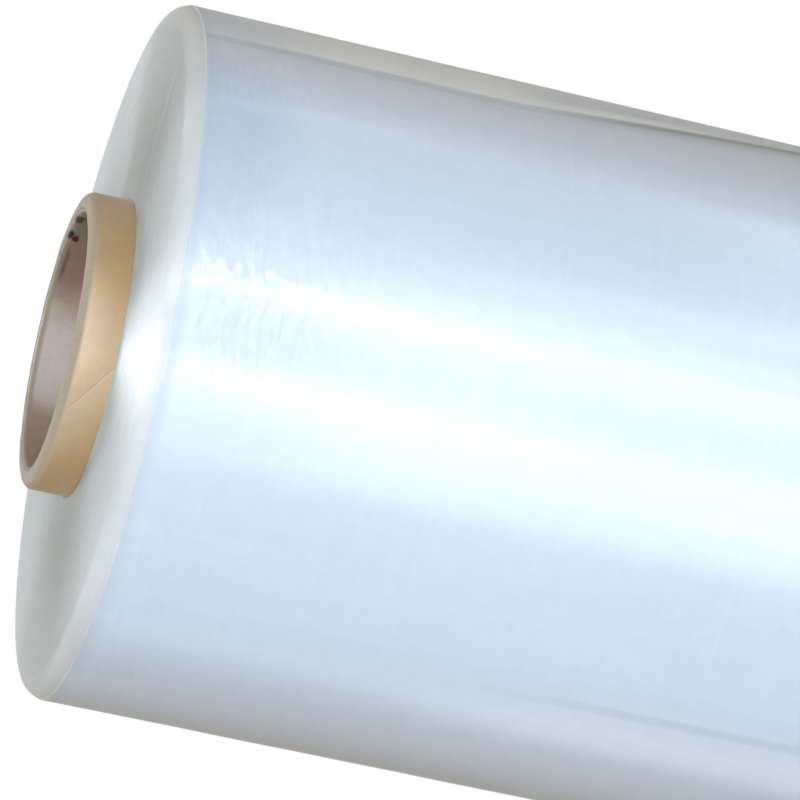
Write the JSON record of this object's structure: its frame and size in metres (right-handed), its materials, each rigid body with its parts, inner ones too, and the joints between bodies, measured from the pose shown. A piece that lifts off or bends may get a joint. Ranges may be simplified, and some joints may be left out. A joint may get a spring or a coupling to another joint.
{
  "type": "stretch wrap roll",
  "caption": "Machine stretch wrap roll: clear film wound on a spiral-wound cardboard core that stands out of both wound ends, for wrapping loaded pallets.",
  "frame": {"origin": "centre of the core's lower end, which the roll stands on", "axes": "+Z along the core, upwards; the roll is round, so X and Y are free, and -Y faces the picture's camera"},
  "size_m": [0.2079, 0.208, 0.5264],
  "materials": {
    "core_board": "plain brown tube board with paler worn cut ends",
    "stretch_film": "glossy clear polyethylene, pale blue-white in the thickness of the roll"
  },
  "bodies": {
    "root": {"cardboard_core": "core_board", "wound_film": "stretch_film"}
  },
  "joints": []
}
